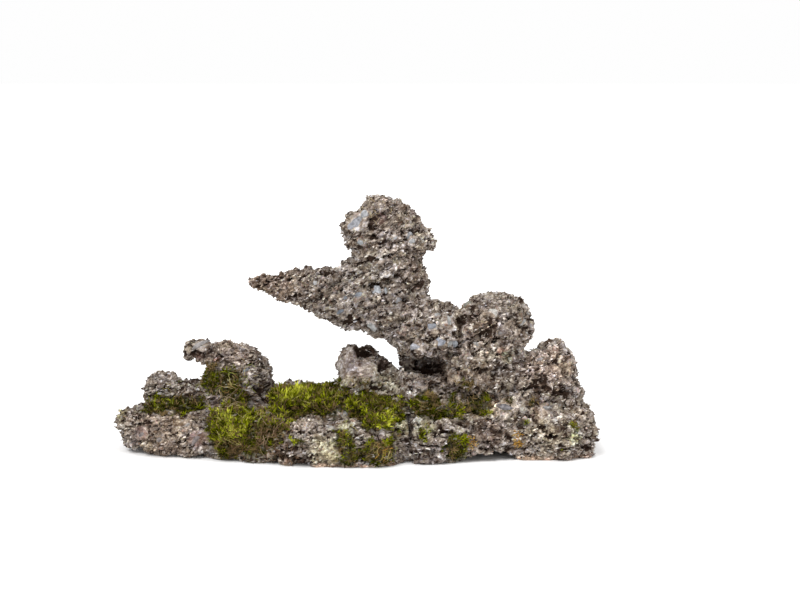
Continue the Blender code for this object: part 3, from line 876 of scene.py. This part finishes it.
def chipTree():
    net, given = newNet("chips", "shapes density seed smallest largest turn")
    chosen = net.calc("LESS_THAN", net.named("pit"), chipLook["deepestPit"])
    chosen = chosen * net.calc("LESS_THAN", net.named("dent"), chipLook["deepestDent"])
    covered = net.named("flat").most(net.named("stray") * 0.6)
    chosen = chosen * net.calc("LESS_THAN", covered, net.chance(0.0, 0.9, 17))
    density = given["density"] * net.named("gritShare")
    spots, normal = net.spread(given["Geometry"], density, given["seed"], chosen)
    size = net.calc("POWER", net.chance(0.0, 1.0, given["seed"]), chipLook["smallShare"])
    size = size.remap(0, 1, given["smallest"], given["largest"])
    lifted = net.moved(spots, normal.scaled(size * net.chance(*chipLook["lift"], 11)))
    yaw = net.joined(0.0, 0.0, net.chance(0.0, math.tau, 12))
    tilt = net.chance(-1.0, 1.0, 13) * given["turn"] - bedTurn(net, net.here())
    roll = net.chance(-1.0, 1.0, 14) * given["turn"]
    inputs = {0: yaw, 1: net.joined(roll, tilt, 0.0)}
    rotation = net.get("FunctionNodeRotateRotation", inputs, rotation_space="GLOBAL")
    grown = net.scatter(lifted, given["shapes"], rotation, size, given["seed"])
    marks = {"grainTint": net.chance(0.0, 1.0, 15), "grainHue": net.chance(0.0, 1.0, 16), "pit": 0.0}
    for name, value in marks.items():
        grown = net.store(grown, name, value, "INSTANCE")
    return net.finish(net.real(grown), stoneSkin)


def chipValues(shapes, density, seed):
    values = {key: chipLook[key] for key in ("smallest", "largest")}
    values["turn"] = math.radians(chipLook["turn"])
    return values | {"shapes": shapes, "density": density, "seed": seed}


def makeChips():
    shapes = chipShapes()
    tree = chipTree()
    for skin, name, side in ((leftSkin, "leftStoneChips", -1), (rightSkin, "rightStoneChips", 1)):
        for batch in range(chipLook["batches"]):
            values = chipValues(shapes, chipLook["density"] / chipLook["batches"], batch + 3)
            chips = runTree(skin, tree, values, name + "AB"[batch])
            holdBack(chips.data, side)
            finishPiece(chips, stoneSkin)


makeChips()
print("chips scattered")

# grit that has settled over the joint: picture x, y of its line, how many grains and how far off the line
# walls are where the stones are looked for beside it, in pixels, and sizes and forward are in mm
jointGrit = {
    "line": ((400, 366), (402, 374), (404, 382), (406, 390), (408, 398), (410, 408)),
    "count": 420,
    "scatter": 2.0,
    "walls": (-3, 3),
    "sizes": (2.5, 6.0),
    "forward": (0.0, 2.5),
}


def makeJointGrit():
    rng = random.Random(17)
    skins = surfaceOf(leftSkin, rightSkin)
    shapes = [shape.data for shape in chipShapes().objects]
    line = jointGrit["line"]
    bm = bmesh.new()
    layers = [bm.verts.layers.float.new(name) for name in ("grainTint", "grainHue")]
    for number in range(jointGrit["count"]):
        step = rng.uniform(0, len(line) - 1)
        start, end = line[int(step)], line[int(step) + 1]
        along = step - int(step)
        pixelX = start[0] + (end[0] - start[0]) * along + rng.gauss(0, jointGrit["scatter"])
        pixelY = start[1] + (end[1] - start[1]) * along
        sides = [seenOn(skins, pixelX + shift, pixelY)[0] for shift in jointGrit["walls"]]
        if None in sides:
            continue
        spot = (sides[0] + sides[1]) / 2 + Vector((0, rng.uniform(*jointGrit["forward"]), 0)) * mm
        size = rng.uniform(*jointGrit["sizes"]) * mm
        turn = Euler([rng.uniform(0, 6) for axis in range(3)]).to_matrix()
        shades = (rng.random(), rng.random())
        shape = rng.choice(shapes)
        made = [bm.verts.new(spot + turn @ vert.co * size) for vert in shape.vertices]
        for vert in made:
            for layer, shade in zip(layers, shades):
                vert[layer] = shade
        for face in shape.polygons:
            bm.faces.new([made[index] for index in face.vertices])
    finishPiece(addObject("jointGrit", meshFrom(bm, "jointGrit")), stoneSkin)


makeJointGrit()
print("joint filled")


# Pebbles set in the stones, each a lump with flats broken off it and most of it sunk.

pebbleLook = {
    "cuts": 12,
    "cutAt": 0.33,
    "uneven": (0.92, 1.10),
    "thickness": 0.30,
    "sink": 0.26,
    "grow": 1.38,
}


def pebbleMaterial():
    made, net, inputs = newMaterial("setPebble", 0.55)
    veins = net.noise(net.objectPlace(), 260.0, 4.0, 0.65)
    shade = veins.remap(0.32, 0.66, 0.30, 0.95)
    net.feed(inputs["Base Color"], net.attribute("pebbleColour", "Color").scaled(shade))
    addBump(net, inputs, veins, 1.0 * mm, 0.7)
    return made


def makePebbles():
    rng = random.Random(21)
    skins = surfaceOf(leftSkin, rightSkin)
    bm = bmesh.new()
    layer = bm.verts.layers.float_color.new("pebbleColour")
    for pixelX, pixelY, width, height, turn, shade in pebbles:
        hit, normal = seenOn(skins, pixelX, pixelY)[:2]
        if hit is None:
            continue
        facing = (normal + Vector((0, -1, 0.1))).normalized()
        across = Vector((math.cos(math.radians(turn)), 0, math.sin(math.radians(turn))))
        across = (across - facing * across.dot(facing)).normalized()
        above = facing.cross(across)
        depth = pebbleLook["thickness"] * (width + height)
        made = bmesh.ops.create_icosphere(bm, subdivisions=2, radius=0.5)["verts"]
        cuts = [
            Vector((rng.gauss(0, 1), rng.gauss(0, 1), rng.gauss(0, 0.7))).normalized()
            for side in range(pebbleLook["cuts"])
        ]
        for vert in made:
            lump = vert.co * rng.uniform(*pebbleLook["uneven"])
            for cut in cuts:
                lump -= cut * max(0, lump.dot(cut) - pebbleLook["cutAt"])
            out = facing * (lump.z - pebbleLook["sink"]) * depth
            place = across * lump.x * width + above * lump.y * height + out
            vert.co = hit + place * pebbleLook["grow"] * mm
            vert[layer] = (*(0.6 * part + 0.4 * shade[1] for part in shade), 1)
    finishPiece(addObject("setPebbles", meshFrom(bm, "setPebbles")), pebbleMaterial())


makePebbles()
print("pebbles set")


# Moss.

mossLook = {
    "cores": ((0.35, (0.01, 0.008, 0.004)), (0.6, (0.03, 0.022, 0.006)), (0.75, (0.07, 0.06, 0.016))),
    "grit": (0.095, 0.078, 0.052),
    "litter": (0.18, 0.122, 0.056),
    "tones": (
        (0.0, (0.018, 0.018, 0.001)),
        (0.25, (0.055, 0.06, 0.002)),
        (0.5, (0.145, 0.16, 0.002)),
        (0.75, (0.34, 0.37, 0.008)),
        (1.0, (0.64, 0.65, 0.08)),
    ),
    "roughness": 0.6,
    "density": 210000.0,
    "sink": 3.8 * mm,
    "starLength": 5.4 * mm,
    "sprigLength": 8.5 * mm,
    "leafWidth": 1.0 * mm,
    "grid": 1.6 * mm,
    "gritSink": 3.4 * mm,
    "openFrom": 5 * mm,
    "patchSize": 75.0,
}

# how dense a cushion's shoots are, the share that stands upright and how much grit lies between them
cushions = {
    "moss_groove": (0.55, 0.4, 0.5),
    "moss_hook_foot": (0.5, 0.6, 0.55),
    "moss_cascade": (0.95, 0.35, 0.1),
    "moss_cascade_right": (0.62, 0.5, 0.4),
    "moss_middle_left": (1.1, 0.75, 0.05),
    "moss_middle_right": (0.9, 0.55, 0.18),
    "moss_front_spot": (0.38, 0.5, 0.58),
    "moss_front_foot": (0.38, 0.5, 0.58),
    "moss_right_ledge": (0.38, 0.45, 0.64),
    "moss_right_foot": (0.4, 0.5, 0.55),
}


def leafMaterial():
    made, net, inputs = newMaterial("mossLeaf", mossLook["roughness"], 0.0)
    patches = net.noise(net.objectPlace(), mossLook["patchSize"], 3.0)
    fine = net.noise(net.objectPlace(), 700.0, 2.0)
    # dark cushions are duller as well
    strength = net.attribute("tone").fused(0.80, 0.45)
    # leaves lighter toward their tips: painted shade at their bases
    own = net.attribute("leafTone").fused(0.95, net.attribute("along") * 0.75)
    tone = (patches - 0.5).fused(1.3, own.fused(strength, net.attribute("tone")))
    colour = net.ramp(tone - 0.66, mossLook["tones"])
    dead = (net.attribute("litter") + net.attribute("leafDead")).remap(0.82, 1.0, 0, 0.95)
    colour = net.mixed(dead, colour, (*mossLook["litter"], 1))
    # dark moss bed under the shoots, partly its own colour and partly painted shade between them
    core = net.ramp(fine, mossLook["cores"])
    core = net.mixed(net.attribute("gritty"), core, (*mossLook["grit"], 1))
    net.feed(inputs["Base Color"], net.mixed(net.attribute("leaf"), core, colour))
    return made


mossSkin = leafMaterial()


def addLeaves(bm, layer, leaves, length, spread, width, rng):
    # narrow curving leaves round one stem; layer holds how far along the leaf each point is
    for number in range(leaves):
        around = math.tau * (number + rng.uniform(-0.3, 0.3)) / leaves
        lean = math.radians(rng.uniform(*spread))
        reach = length * rng.uniform(0.7, 1.1)
        out = Vector((math.cos(around), math.sin(around), 0))
        side = Vector((-out.y, out.x, 0)) * width / 2
        start = Vector((0, 0, length * rng.uniform(0.0, 0.3)))
        bend = start + (out * math.sin(lean) + Vector((0, 0, math.cos(lean)))) * reach * 0.5
        steeper = lean + math.radians(rng.uniform(5, 30))
        tip = bend + (out * math.sin(steeper) + Vector((0, 0, math.cos(steeper)))) * reach * 0.5
        outline = (start - side * 0.7, start + side * 0.7, bend + side, bend - side, tip)
        made = [bm.verts.new(spot) for spot in outline]
        for vert, along in zip(made, (0, 0, 0.55, 0.55, 1)):
            vert[layer] = along
        bm.faces.new(made[:4])
        bm.faces.new((made[3], made[2], made[4]))


def leafShapes(name, kinds, leaves, length, spread, seed):
    rng = random.Random(seed)
    shapes = bpy.data.collections.new(name)
    for kind in range(kinds):
        bm = bmesh.new()
        layer = bm.verts.layers.float.new("along")
        addLeaves(bm, layer, leaves, length, spread, mossLook["leafWidth"], rng)
        mesh = meshFrom(bm, "%s%d" % (name, kind))
        shapes.objects.link(bpy.data.objects.new(mesh.name, mesh))
    return shapes


stars = leafShapes("star", 6, 6, mossLook["starLength"], (35, 75), 7)
sprigs = leafShapes("sprig", 6, 4, mossLook["sprigLength"], (4, 38), 8)

# picture x, y, radius in mm, tone from 0 dark to 1 bright
mossTones = (
    (300, 391, 12, 0.95), (283, 397, 14, 0.72), (320, 390, 10, 0.15), (275, 392, 7, 0.3),
    (240, 425, 20, 0.58), (224, 415, 10, 0.7), (228, 433, 12, 0.6), (262, 440, 24, 0.28),
    (280, 420, 18, 0.45), (225, 385, 18, 0.12), (240, 374, 16, 0.05), (210, 374, 12, 0.06),
    (292, 444, 7, 0.6), (208, 384, 8, 0.1), (252, 398, 12, 0.2), (320, 397, 14, 0.45), (345, 402, 14, 0.42),
    (360, 409, 12, 0.5), (375, 398, 10, 0.25), (395, 404, 10, 0.3), (385, 417, 16, 0.72),
    (345, 440, 14, 0.36), (383, 452, 12, 0.42), (430, 408, 18, 0.12), (308, 405, 10, 0.6),
    (470, 398, 24, 0.18), (520, 398, 24, 0.16), (455, 446, 14, 0.3), (378, 382, 12, 0.1),
    (352, 385, 12, 0.1), (366, 389, 10, 0.14), (175, 400, 24, 0.15), (157, 403, 8, 0.5),
    (270, 398, 12, 0.5), (330, 388, 10, 0.3), (234, 452, 14, 0.08), (147, 404, 7, 0.8),
)
# the same with how much of it is dead
mossLitter = (
    (272, 430, 22, 0.6), (278, 446, 18, 0.65), (262, 457, 16, 0.85), (240, 459, 16, 0.8),
    (292, 458, 14, 0.9), (232, 452, 12, 0.75), (262, 408, 12, 0.5), (383, 453, 14, 0.68),
    (300, 412, 10, 0.45), (455, 450, 12, 0.5), (500, 402, 20, 0.4), (230, 398, 12, 0.45),
    (340, 412, 12, 0.4), (318, 402, 8, 0.45), (235, 378, 12, 0.4), (245, 366, 12, 0.35),
    (440, 405, 16, 0.5), (470, 400, 18, 0.5), (375, 384, 14, 0.35), (365, 400, 8, 0.35),
    (190, 400, 10, 0.5), (240, 425, 16, 0.12), (297, 391, 12, 0.02),
)


def spotValues(place, spots, base):
    # the spots' values, blended, and base away from them
    baseWeight = 0.35
    total = np.full(len(place), base * baseWeight)
    weight = np.full(len(place), baseWeight)
    for pixelX, pixelY, radius, value in spots:
        hit = inFront(pixelX, pixelY)
        if hit is None:
            continue
        gap = np.linalg.norm(place - np.array(hit), axis=1) / (radius * mm)
        here = np.clip(1.3 - gap, 0, 1) ** 2
        total += here * value
        weight += here
    return total / weight


def storeMossFields(mesh, gritty):
    # how open each point is to the air, its tone, its share of dead leaves and how thin the moss is there
    place = points(mesh)
    free = []
    for vert in mesh.vertices:
        hit, normal, face, far = cadSurface.find_nearest(vert.co)
        outward = (vert.co - hit).normalized().dot(vert.normal) > 0.15
        free.append(1.0 if outward or far > mossLook["openFrom"] else 0.0)
    thin = thinness(place)
    fields = {
        "free": free,
        "tone": spotValues(place, mossTones, 0.35),
        "litter": spotValues(place, mossLitter, 0.22),
        "gritty": np.maximum(thin, gritty),
        "gritShare": gritty * 0.6 * (1 - thin),
        "mossNear": np.full(len(place), 0.8),
        "dense": 1 - 0.97 * thin,
    }
    for name, values in fields.items():
        storeFloats(mesh, name, values)


def growLeaves(net, spots, normal, shapes, height, lean, seed):
    # shoots that stand between the surface's normal and straight up
    wild = net.joined(*(net.chance(-1.0, 1.0, axis) for axis in (31, 32, 33)))
    rise = net.vector("ADD", normal.scaled(0.6), (0, -0.10, 0.75))
    rise = net.vector("ADD", rise, wild.scaled(lean))
    upright = net.get("FunctionNodeAlignRotationToVector", {"Vector": rise}, axis="Z")
    spun = net.joined(0.0, 0.0, net.chance(0.0, math.tau, 34))
    turned = net.get("FunctionNodeRotateRotation", {0: upright, 1: spun}, rotation_space="LOCAL")
    clump = net.noise(None, 110.0, 2.0)
    size = net.chance(0.65, 1.25, 35) * clump.remap(0.35, 0.65, 0.70, 1.35) * height
    return net.scatter(spots, shapes, turned, size, seed)


def leafMarks(net, shoots, seed):
    marks = {"leaf": 1.0, "leafTone": net.chance(0.0, 1.0, seed), "leafDead": net.chance(0.0, 1.0, seed + 1)}
    for name, value in marks.items():
        shoots = net.store(shoots, name, value, "INSTANCE")
    return net.real(shoots)


def mossTree():
    net, given = newNet("mossCushion", "stars sprigs density sprigShare sink seed")
    normal = net.get("GeometryNodeInputNormal")
    uneven = net.noise(net.here(), 160.0, 2.0)
    inward = uneven.remap(0.3, 0.7, -1.25, -0.65) * given["sink"]
    inward = inward * net.apart(normal)[2].remap(0.2, 1.0, 1.0, 1.7)
    inward = inward * net.named("gritty").fused(1.8, 0.60) * net.named("free")
    core = net.moved(given["Geometry"], normal.scaled(inward))
    bare = net.calc("GREATER_THAN", net.named("gritty"), 0.75)
    bed = net.store(net.get("GeometryNodeDeleteGeometry", {"Geometry": core, "Selection": bare}), "leaf", 0.0)
    grown = []
    kinds = ((given["stars"], 1.0 - given["sprigShare"]), (given["sprigs"], given["sprigShare"]))
    for number, (shapes, share) in enumerate(kinds):
        seed = given["seed"] + (number + 1)
        free = net.calc("GREATER_THAN", net.named("free"), 0.5)
        spots, facing = net.spread(core, given["density"] * share * net.named("dense"), seed, free)
        grown.append(growLeaves(net, spots, facing, shapes, 1.0, 0.35, seed))
    leaves = leafMarks(net, net.together(*grown), 41)
    return net.finish(net.together(leaves, bed), mossSkin)


def camelName(name):
    first, *rest = name.split("_")
    return first + "".join(word.capitalize() for word in rest)


def makeMoss():
    tree = mossTree()
    chips = chipTree()
    shapes = chipShapes()
    for seed, name in enumerate(mossNodes):
        rough = mergedCopy(nodes[name], name + "Rough")
        addVoxels(rough, mossLook["grid"])
        pad = applied(rough, name + "Base")
        dense, upright, gritty = cushions[name]
        storeMossFields(pad.data, gritty)
        values = {
            "stars": stars, "sprigs": sprigs, "density": mossLook["density"] * dense,
            "sprigShare": upright, "sink": mossLook["sink"], "seed": seed * 10,
        }
        moss = runTree(pad, tree, values, camelName(name))
        inward = np.empty(len(pad.data.vertices) * 3)
        pad.data.vertices.foreach_get("normal", inward)
        setPoints(pad.data, points(pad.data) - inward.reshape(-1, 3) * mossLook["gritSink"])
        values = chipValues(shapes, chipLook["density"], seed + 50)
        grit = runTree(pad, chips, values, camelName(name) + "Grit")
        finishPiece(grit, stoneSkin)
        for used in (rough, pad):
            bpy.data.objects.remove(used)
        holdUp(moss.data, lowest)
        finishPiece(moss, mossSkin, name)


makeMoss()
print("moss grown")


# Stray moss and fibres on the bare stone.

strayLook = {
    "density": 260000.0,
    "grainSize": 70.0,
    "lift": 1.3 * mm,
    "smallest": 0.6,
    "largest": 1.15,
}


def strayTree():
    net, given = newNet("strayMoss", "shapes density grainSize smallest largest lift seed")
    patch = net.noise(net.here(), given["grainSize"], 4.0, 0.65)
    near = net.named("mossNear").remap(0.25, 0.95, 0, 0.9)
    wanted = (near * net.named("dense")).most(net.named("stray"))
    wanted = (patch - 0.5).fused(3.2, wanted.fused(1.5, -0.60))
    spots, normal = net.spread(given["Geometry"], given["density"] * wanted.remap(0, 0.8), given["seed"])
    size = net.chance(given["smallest"], given["largest"], 51)
    shoots = growLeaves(net, spots, normal, given["shapes"], size, 0.45, given["seed"])
    offset = net.joined(0.0, given["lift"] * -0.8, given["lift"])
    return net.finish(leafMarks(net, net.moved(shoots, offset), 43), mossSkin)


def makeStray():
    tree = strayTree()
    for seed, skin, name in ((5, leftSkin, "leftStrayMoss"), (6, rightSkin, "rightStrayMoss")):
        place = points(skin.data)
        storeFloats(skin.data, "tone", spotValues(place, mossTones, 0.30))
        storeFloats(skin.data, "litter", spotValues(place, mossLitter, 0.25))
        storeFloats(skin.data, "dense", 1 - 0.95 * thinness(place))
        stray = runTree(skin, tree, strayLook | {"shapes": stars, "seed": seed}, name)
        holdUp(stray.data, lowest)
        finishPiece(stray, mossSkin)


makeStray()

fibreLook = {
    "count": 700,
    "thickness": 0.85 * mm,
    "shortest": 7 * mm,
    "longest": 22 * mm,
    "steps": 7,
    "arch": 2.2,
    "wander": 0.45,
    "rustLength": 0.45,
    "colours": {
        "moss": (
            (0.33, 0.23, 0.09), (0.2, 0.11, 0.04), (0.09, 0.05, 0.028),
            (0.42, 0.36, 0.14), (0.26, 0.28, 0.06),
        ),
        "root": ((0.2, 0.12, 0.07), (0.13, 0.075, 0.045), (0.33, 0.23, 0.15)),
        "rust": ((0.52, 0.28, 0.05), (0.42, 0.22, 0.05), (0.6, 0.42, 0.12)),
        "straw": ((0.48, 0.38, 0.22), (0.33, 0.25, 0.16)),
    },
}

# picture x, y, radius in mm, share of the fibres, kind
fibreSpots = (
    (240, 425, 30, 5, "moss"), (275, 435, 26, 6, "root"), (240, 380, 26, 5, "moss"),
    (300, 398, 30, 3, "moss"), (350, 402, 30, 3, "moss"), (385, 415, 22, 2, "moss"),
    (385, 452, 16, 4, "moss"), (383, 454, 12, 1, "rust"), (180, 400, 30, 3, "moss"),
    (430, 408, 24, 2, "moss"), (480, 398, 30, 3, "root"), (472, 443, 7, 4, "rust"),
    (518, 434, 4, 4, "rust"), (518, 442, 4, 4, "rust"), (375, 207, 22, 2, "straw"),
    (255, 458, 26, 5, "root"), (225, 402, 10, 2, "straw"), (345, 440, 12, 1, "moss"),
    (290, 455, 16, 2, "root"), (262, 405, 14, 3, "root"), (232, 402, 10, 1, "straw"),
    (330, 408, 24, 2, "root"),
)


def fibreMaterial():
    made, net, inputs = newMaterial("dryFibre", 0.7)
    net.feed(inputs["Base Color"], net.attribute("fibreColour", "Color"))
    return made


def anyWay(rng):
    return Vector([rng.uniform(-1, 1) for axis in range(3)])


def makeFibres():
    # thin three-sided strands that wander over stone and moss
    rng = random.Random(33)
    ground = surfaceOf(leftSkin, rightSkin, *(nodes[name] for name in mossNodes))
    weights = [spot[3] for spot in fibreSpots]
    steps = fibreLook["steps"]
    bm = bmesh.new()
    layer = bm.verts.layers.float_color.new("fibreColour")
    for number in range(fibreLook["count"]):
        pixelX, pixelY, radius, share, kind = rng.choices(fibreSpots, weights)[0]
        around = rng.uniform(0, math.tau)
        out = radius * math.sqrt(rng.random()) / 1.25
        pixelX += out * math.cos(around)
        pixelY += out * math.sin(around)
        hit, normal = seenOn(ground, pixelX, pixelY)[:2]
        if hit is None:
            continue
        heading = anyWay(rng)
        heading = (heading - normal * heading.dot(normal)).normalized()
        length = rng.uniform(fibreLook["shortest"], fibreLook["longest"])
        if kind == "rust":
            length *= fibreLook["rustLength"]
        shade = rng.choice(fibreLook["colours"][kind])
        thick = fibreLook["thickness"] * rng.uniform(0.6, 1.1)
        spot = hit + normal * 1.0 * mm
        previous = None
        for step in range(steps):
            near, away = ground.find_nearest(spot)[:2]
            arch = fibreLook["arch"] * math.sin(math.pi * step / (steps - 1)) * rng.uniform(0.4, 1)
            centre = near + away * (0.4 + arch) * mm
            side = heading.cross(away).normalized()
            taper = thick * (1 - 0.6 * step / steps) / 2
            ring = []
            for corner in range(3):
                turn = math.tau * corner / 3
                vert = bm.verts.new(centre + (side * math.cos(turn) + away * math.sin(turn)) * taper)
                vert[layer] = (*shade, 1)
                ring.append(vert)
            if previous is not None:
                for corner in range(3):
                    following = (corner + 1) % 3
                    bm.faces.new((previous[corner], previous[following], ring[following], ring[corner]))
            previous = ring
            heading = heading + anyWay(rng) * fibreLook["wander"]
            heading = (heading - away * heading.dot(away)).normalized()
            spot = near + heading * length / steps
    fibres = addObject("dryFibres", meshFrom(bm, "dryFibres"))
    holdUp(fibres.data, lowest)
    finishPiece(fibres, fibreMaterial())


makeFibres()
print("stray moss and fibres laid")


# Floor and light.

stageLook = {
    "floorSize": 12,
    "floorDrop": 0.3 * mm,
    "paper": (0.95, 0.95, 0.95, 1),
    "sky": 0.99,
}
# degrees to the right of the camera's side, degrees up, degrees wide, strength
suns = {
    "key": (-35, 52, 25, 1.6),
    "fill": (60, 60, 40, 0.7),
}


def makeStage():
    bm = bmesh.new()
    bmesh.ops.create_grid(bm, x_segments=1, y_segments=1, size=stageLook["floorSize"])
    floor = addObject("floor", meshFrom(bm, "floor"))
    floor.location = (0, 0, -stageLook["floorDrop"])
    paper, net, inputs = newMaterial("paper", 0.9, 0.0)
    inputs["Base Color"].default_value = stageLook["paper"]
    floor.data.materials.append(paper)


def makeSun(name, azimuth, height, spread, strength):
    data = bpy.data.lights.new(name, "SUN")
    data.angle = math.radians(spread)
    data.energy = strength
    made = addObject(name, data)
    turn = math.radians(azimuth)
    rise = math.radians(height)
    place = Vector((math.sin(turn) * math.cos(rise), -math.cos(turn) * math.cos(rise), math.sin(rise)))
    made.location = place * 3
    made.rotation_euler = place.to_track_quat("Z", "Y").to_euler()


def makeLight():
    world = bpy.data.worlds.new("studio")
    world.use_nodes = True
    sky = world.node_tree.nodes["Background"].inputs
    sky["Color"].default_value = (1, 1, 1, 1)
    sky["Strength"].default_value = stageLook["sky"]
    scene.world = world
    for name, values in suns.items():
        makeSun(name, *values)


makeStage()
makeLight()
scene.view_settings.view_transform = "Standard"
print("stage lit")
